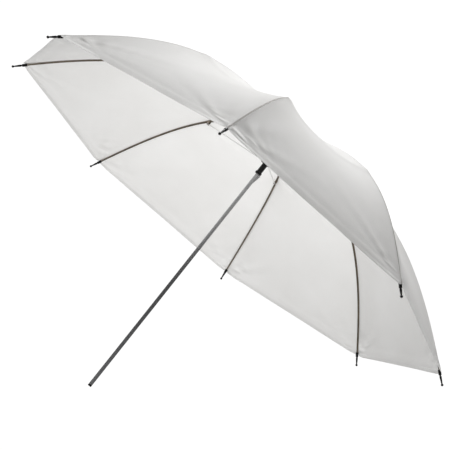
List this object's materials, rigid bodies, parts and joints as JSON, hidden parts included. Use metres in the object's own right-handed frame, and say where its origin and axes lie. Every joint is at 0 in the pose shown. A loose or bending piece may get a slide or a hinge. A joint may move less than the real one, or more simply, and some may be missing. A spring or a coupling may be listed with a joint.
{
  "type": "umbrella reflector",
  "caption": "Open white shoot-through studio umbrella: ribbed translucent canopy, wire stretchers, sliding runner and a long bare steel shaft",
  "frame": {"origin": "centre of the flat end face at the free end of the shaft, where the umbrella is held", "axes": "+Z along the shaft from its free end towards the crown and the canopy's apex; +X towards rib 1, ribs follow every 45 degrees about +Z; the shaft's catch spring faces -X"},
  "size_m": [1.0134, 1.0134, 0.6305],
  "materials": {
    "shaft_steel": "bright plated steel tube, lightly hazed",
    "rib_steel": "dark grey-brown painted spring steel",
    "stretcher_wire": "bright drawn wire",
    "spring_steel": "plain spring steel",
    "black_plastic": "glossy black moulding",
    "diffusion_cloth": "thin translucent white woven nylon"
  },
  "bodies": {
    "shaft": {"shaft": "shaft_steel", "shaft_end_plug": "black_plastic", "crown": "black_plastic", "crown_wire": "spring_steel", "apex_washer": "black_plastic", "ferrule_cap": "black_plastic", "catch_pin": "spring_steel"},
    "runner": {"runner": "black_plastic"},
    "catch_spring": {"catch_spring": "spring_steel"},
    "rib_inner_1": {"rib_inner_1": "rib_steel", "rivet_1": "spring_steel", "canopy_panel_1": "diffusion_cloth"},
    "rib_outer_1": {"rib_outer_1": "rib_steel", "tip_cap_1": "black_plastic"},
    "stretcher_1": {"stretcher_1": "stretcher_wire"},
    "rib_inner_2": {"rib_inner_2": "rib_steel", "rivet_2": "spring_steel", "canopy_panel_2": "diffusion_cloth"},
    "rib_outer_2": {"rib_outer_2": "rib_steel", "tip_cap_2": "black_plastic"},
    "stretcher_2": {"stretcher_2": "stretcher_wire"},
    "rib_inner_3": {"rib_inner_3": "rib_steel", "rivet_3": "spring_steel", "canopy_panel_3": "diffusion_cloth"},
    "rib_outer_3": {"rib_outer_3": "rib_steel", "tip_cap_3": "black_plastic"},
    "stretcher_3": {"stretcher_3": "stretcher_wire"},
    "rib_inner_4": {"rib_inner_4": "rib_steel", "rivet_4": "spring_steel", "canopy_panel_4": "diffusion_cloth"},
    "rib_outer_4": {"rib_outer_4": "rib_steel", "tip_cap_4": "black_plastic"},
    "stretcher_4": {"stretcher_4": "stretcher_wire"},
    "rib_inner_5": {"rib_inner_5": "rib_steel", "rivet_5": "spring_steel", "canopy_panel_5": "diffusion_cloth"},
    "rib_outer_5": {"rib_outer_5": "rib_steel", "tip_cap_5": "black_plastic"},
    "stretcher_5": {"stretcher_5": "stretcher_wire"},
    "rib_inner_6": {"rib_inner_6": "rib_steel", "rivet_6": "spring_steel", "canopy_panel_6": "diffusion_cloth"},
    "rib_outer_6": {"rib_outer_6": "rib_steel", "tip_cap_6": "black_plastic"},
    "stretcher_6": {"stretcher_6": "stretcher_wire"},
    "rib_inner_7": {"rib_inner_7": "rib_steel", "rivet_7": "spring_steel", "canopy_panel_7": "diffusion_cloth"},
    "rib_outer_7": {"rib_outer_7": "rib_steel", "tip_cap_7": "black_plastic"},
    "stretcher_7": {"stretcher_7": "stretcher_wire"},
    "rib_inner_8": {"rib_inner_8": "rib_steel", "rivet_8": "spring_steel", "canopy_panel_8": "diffusion_cloth"},
    "rib_outer_8": {"rib_outer_8": "rib_steel", "tip_cap_8": "black_plastic"},
    "stretcher_8": {"stretcher_8": "stretcher_wire"}
  },
  "joints": [
    {"name": "runner_slide", "type": "slide", "parent": "shaft", "child": "runner", "axis": [0, 0, -1], "range_m": [0, 0.39939], "deforming": ["catch_spring", "canopy_panel_1", "canopy_panel_2", "canopy_panel_3", "canopy_panel_4", "canopy_panel_5", "canopy_panel_6", "canopy_panel_7", "canopy_panel_8"]},
    {"name": "catch_press", "type": "hinge", "parent": "shaft", "child": "catch_spring", "pos_m": [-0.002, 0, 0.482], "axis": [0, 1, 0], "range_deg": [0, 11], "stiffness_Nm_per_rad": 0.02},
    {"name": "rib_hinge_1", "type": "hinge", "parent": "shaft", "child": "rib_inner_1", "pos_m": [0.0092, 0, 0.61], "axis": [0, 1, 0], "range_deg": [0, 77.8]},
    {"name": "rib_flex_1", "type": "hinge", "parent": "rib_inner_1", "child": "rib_outer_1", "pos_m": [0.2587, 0, 0.57274], "axis": [0, 1, 0], "range_deg": [-28.05, 0]},
    {"name": "stretcher_rivet_1", "type": "hinge", "parent": "rib_inner_1", "child": "stretcher_1", "pos_m": [0.24443, 0, 0.57169], "axis": [0, 1, 0], "range_deg": [-155.6, 0]},
    {"name": "rib_hinge_2", "type": "hinge", "parent": "shaft", "child": "rib_inner_2", "pos_m": [0.00651, 0.00651, 0.61], "axis": [-0.7071, 0.7071, 0], "range_deg": [0, 77.8]},
    {"name": "rib_flex_2", "type": "hinge", "parent": "rib_inner_2", "child": "rib_outer_2", "pos_m": [0.18293, 0.18293, 0.57274], "axis": [-0.7071, 0.7071, 0], "range_deg": [-28.05, 0]},
    {"name": "stretcher_rivet_2", "type": "hinge", "parent": "rib_inner_2", "child": "stretcher_2", "pos_m": [0.17284, 0.17284, 0.57169], "axis": [-0.7071, 0.7071, 0], "range_deg": [-155.6, 0]},
    {"name": "rib_hinge_3", "type": "hinge", "parent": "shaft", "child": "rib_inner_3", "pos_m": [0, 0.0092, 0.61], "axis": [-1, 0, 0], "range_deg": [0, 77.8]},
    {"name": "rib_flex_3", "type": "hinge", "parent": "rib_inner_3", "child": "rib_outer_3", "pos_m": [0, 0.2587, 0.57274], "axis": [-1, 0, 0], "range_deg": [-28.05, 0]},
    {"name": "stretcher_rivet_3", "type": "hinge", "parent": "rib_inner_3", "child": "stretcher_3", "pos_m": [0, 0.24443, 0.57169], "axis": [-1, 0, 0], "range_deg": [-155.6, 0]},
    {"name": "rib_hinge_4", "type": "hinge", "parent": "shaft", "child": "rib_inner_4", "pos_m": [-0.00651, 0.00651, 0.61], "axis": [-0.7071, -0.7071, 0], "range_deg": [0, 77.8]},
    {"name": "rib_flex_4", "type": "hinge", "parent": "rib_inner_4", "child": "rib_outer_4", "pos_m": [-0.18293, 0.18293, 0.57274], "axis": [-0.7071, -0.7071, 0], "range_deg": [-28.05, 0]},
    {"name": "stretcher_rivet_4", "type": "hinge", "parent": "rib_inner_4", "child": "stretcher_4", "pos_m": [-0.17284, 0.17284, 0.57169], "axis": [-0.7071, -0.7071, 0], "range_deg": [-155.6, 0]},
    {"name": "rib_hinge_5", "type": "hinge", "parent": "shaft", "child": "rib_inner_5", "pos_m": [-0.0092, 0, 0.61], "axis": [0, -1, 0], "range_deg": [0, 77.8]},
    {"name": "rib_flex_5", "type": "hinge", "parent": "rib_inner_5", "child": "rib_outer_5", "pos_m": [-0.2587, 0, 0.57274], "axis": [0, -1, 0], "range_deg": [-28.05, 0]},
    {"name": "stretcher_rivet_5", "type": "hinge", "parent": "rib_inner_5", "child": "stretcher_5", "pos_m": [-0.24443, 0, 0.57169], "axis": [0, -1, 0], "range_deg": [-155.6, 0]},
    {"name": "rib_hinge_6", "type": "hinge", "parent": "shaft", "child": "rib_inner_6", "pos_m": [-0.00651, -0.00651, 0.61], "axis": [0.7071, -0.7071, 0], "range_deg": [0, 77.8]},
    {"name": "rib_flex_6", "type": "hinge", "parent": "rib_inner_6", "child": "rib_outer_6", "pos_m": [-0.18293, -0.18293, 0.57274], "axis": [0.7071, -0.7071, 0], "range_deg": [-28.05, 0]},
    {"name": "stretcher_rivet_6", "type": "hinge", "parent": "rib_inner_6", "child": "stretcher_6", "pos_m": [-0.17284, -0.17284, 0.57169], "axis": [0.7071, -0.7071, 0], "range_deg": [-155.6, 0]},
    {"name": "rib_hinge_7", "type": "hinge", "parent": "shaft", "child": "rib_inner_7", "pos_m": [0, -0.0092, 0.61], "axis": [1, 0, 0], "range_deg": [0, 77.8]},
    {"name": "rib_flex_7", "type": "hinge", "parent": "rib_inner_7", "child": "rib_outer_7", "pos_m": [0, -0.2587, 0.57274], "axis": [1, 0, 0], "range_deg": [-28.05, 0]},
    {"name": "stretcher_rivet_7", "type": "hinge", "parent": "rib_inner_7", "child": "stretcher_7", "pos_m": [0, -0.24443, 0.57169], "axis": [1, 0, 0], "range_deg": [-155.6, 0]},
    {"name": "rib_hinge_8", "type": "hinge", "parent": "shaft", "child": "rib_inner_8", "pos_m": [0.00651, -0.00651, 0.61], "axis": [0.7071, 0.7071, 0], "range_deg": [0, 77.8]},
    {"name": "rib_flex_8", "type": "hinge", "parent": "rib_inner_8", "child": "rib_outer_8", "pos_m": [0.18293, -0.18293, 0.57274], "axis": [0.7071, 0.7071, 0], "range_deg": [-28.05, 0]},
    {"name": "stretcher_rivet_8", "type": "hinge", "parent": "rib_inner_8", "child": "stretcher_8", "pos_m": [0.17284, -0.17284, 0.57169], "axis": [0.7071, 0.7071, 0], "range_deg": [-155.6, 0]}
  ],
  "couplings": [
    {"joint": "rib_hinge_1", "follows": "runner_slide", "rad_per_m": 3.3977},
    {"joint": "rib_flex_1", "follows": "runner_slide", "rad_per_m": -1.2236},
    {"joint": "stretcher_rivet_1", "follows": "runner_slide", "rad_per_m": -6.7954},
    {"joint": "rib_hinge_2", "follows": "runner_slide", "rad_per_m": 3.3977},
    {"joint": "rib_flex_2", "follows": "runner_slide", "rad_per_m": -1.2236},
    {"joint": "stretcher_rivet_2", "follows": "runner_slide", "rad_per_m": -6.7954},
    {"joint": "rib_hinge_3", "follows": "runner_slide", "rad_per_m": 3.3977},
    {"joint": "rib_flex_3", "follows": "runner_slide", "rad_per_m": -1.2236},
    {"joint": "stretcher_rivet_3", "follows": "runner_slide", "rad_per_m": -6.7954},
    {"joint": "rib_hinge_4", "follows": "runner_slide", "rad_per_m": 3.3977},
    {"joint": "rib_flex_4", "follows": "runner_slide", "rad_per_m": -1.2236},
    {"joint": "stretcher_rivet_4", "follows": "runner_slide", "rad_per_m": -6.7954},
    {"joint": "rib_hinge_5", "follows": "runner_slide", "rad_per_m": 3.3977},
    {"joint": "rib_flex_5", "follows": "runner_slide", "rad_per_m": -1.2236},
    {"joint": "stretcher_rivet_5", "follows": "runner_slide", "rad_per_m": -6.7954},
    {"joint": "rib_hinge_6", "follows": "runner_slide", "rad_per_m": 3.3977},
    {"joint": "rib_flex_6", "follows": "runner_slide", "rad_per_m": -1.2236},
    {"joint": "stretcher_rivet_6", "follows": "runner_slide", "rad_per_m": -6.7954},
    {"joint": "rib_hinge_7", "follows": "runner_slide", "rad_per_m": 3.3977},
    {"joint": "rib_flex_7", "follows": "runner_slide", "rad_per_m": -1.2236},
    {"joint": "stretcher_rivet_7", "follows": "runner_slide", "rad_per_m": -6.7954},
    {"joint": "rib_hinge_8", "follows": "runner_slide", "rad_per_m": 3.3977},
    {"joint": "rib_flex_8", "follows": "runner_slide", "rad_per_m": -1.2236},
    {"joint": "stretcher_rivet_8", "follows": "runner_slide", "rad_per_m": -6.7954}
  ]
}
